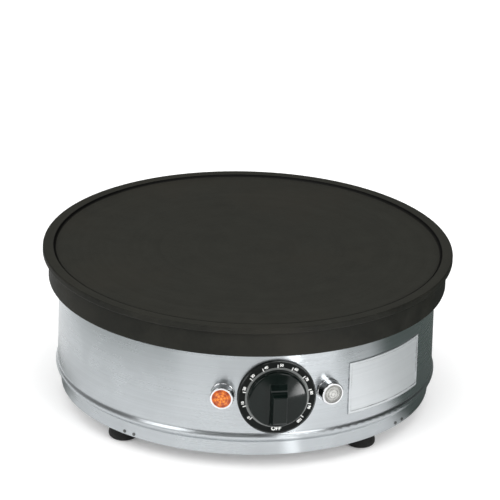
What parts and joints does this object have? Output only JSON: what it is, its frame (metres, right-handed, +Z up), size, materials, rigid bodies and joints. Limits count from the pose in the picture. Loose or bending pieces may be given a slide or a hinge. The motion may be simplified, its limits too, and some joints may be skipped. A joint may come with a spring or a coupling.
{
  "type": "electric crepe maker",
  "caption": "round electric crepe maker: flat cast iron plate with a low rim over a brushed steel drum, thermostat knob and two pilot lamps at the front, rubber feet",
  "frame": {"origin": "on the plate's axis, at the level the rubber feet stand on", "axes": "+Z up out of the cooking surface, -Y towards the knob at the front, +X to the right seen from the front"},
  "size_m": [0.35, 0.3614, 0.135],
  "materials": {
    "cast_plate": "seasoned matte",
    "stainless": "brushed round the drum",
    "plain_steel": "mill finish",
    "zinc_steel": "zinc plated",
    "chrome_trim": "polished",
    "dial_plastic": "satin black with printed numerals",
    "knob_plastic": "glossy moulded black",
    "lens_orange": "clear orange",
    "lens_clear": "clear",
    "lamp_plastic": "white moulded",
    "element_sheath": "heat-darkened",
    "reflector_aluminium": "bright rolled",
    "insulation": "ceramic fibre",
    "ceramic": "white steatite",
    "brass_parts": "turned",
    "copper_bulb": "drawn copper",
    "foot_rubber": "matte black",
    "gland_nylon": "black nylon",
    "seal_rubber": "soft black",
    "badge_metal": "fine brushed, bare"
  },
  "bodies": {
    "housing": {"crepe_plate": "cast_plate", "heating_element_outer": "element_sheath", "heating_element_inner": "element_sheath", "element_clamp_plate": "plain_steel", "plate_studs": "zinc_steel", "stud_nuts": "zinc_steel", "insulation_disc": "insulation", "heat_reflector": "reflector_aluminium", "element_bushes": "ceramic", "plate_screws": "zinc_steel", "body_shell": "stainless", "rim_rivets": "plain_steel", "base_pan": "plain_steel", "service_cover": "plain_steel", "service_screws": "zinc_steel", "foot_front_left": "foot_rubber", "foot_front_right": "foot_rubber", "foot_rear_right": "foot_rubber", "foot_rear_left": "foot_rubber", "foot_studs": "zinc_steel", "foot_nuts": "zinc_steel", "dial_bezel": "dial_plastic", "dial_ring": "chrome_trim", "thermostat_bracket": "plain_steel", "thermostat_body": "plain_steel", "thermostat_base": "ceramic", "thermostat_tabs": "brass_parts", "thermostat_bush": "brass_parts", "thermostat_screws": "zinc_steel", "capillary_tube": "copper_bulb", "sensing_bulb": "copper_bulb", "bulb_clips": "plain_steel", "heating_lamp_bezel": "chrome_trim", "heating_lamp_lens": "lens_orange", "heating_lamp_holder": "lamp_plastic", "heating_lamp_nut": "zinc_steel", "power_lamp_bezel": "chrome_trim", "power_lamp_lens": "lens_clear", "power_lamp_holder": "lamp_plastic", "power_lamp_nut": "zinc_steel", "badge_plate": "badge_metal", "gland_body": "gland_nylon", "gland_cap": "gland_nylon", "gland_seal": "seal_rubber", "gland_locknut": "gland_nylon", "terminal_block": "ceramic", "terminal_clamp_screws": "brass_parts", "terminal_block_screws": "zinc_steel", "earth_stud": "brass_parts", "earth_nut": "brass_parts"},
    "knob": {"thermostat_shaft": "plain_steel", "control_knob": "knob_plastic", "knob_spring": "plain_steel"}
  },
  "joints": [
    {"name": "knob_turn", "type": "hinge", "parent": "housing", "child": "knob", "pos_m": [0, -0.1607, 0.067], "axis": [0, 1, 0], "range_deg": [0, 310]}
  ]
}
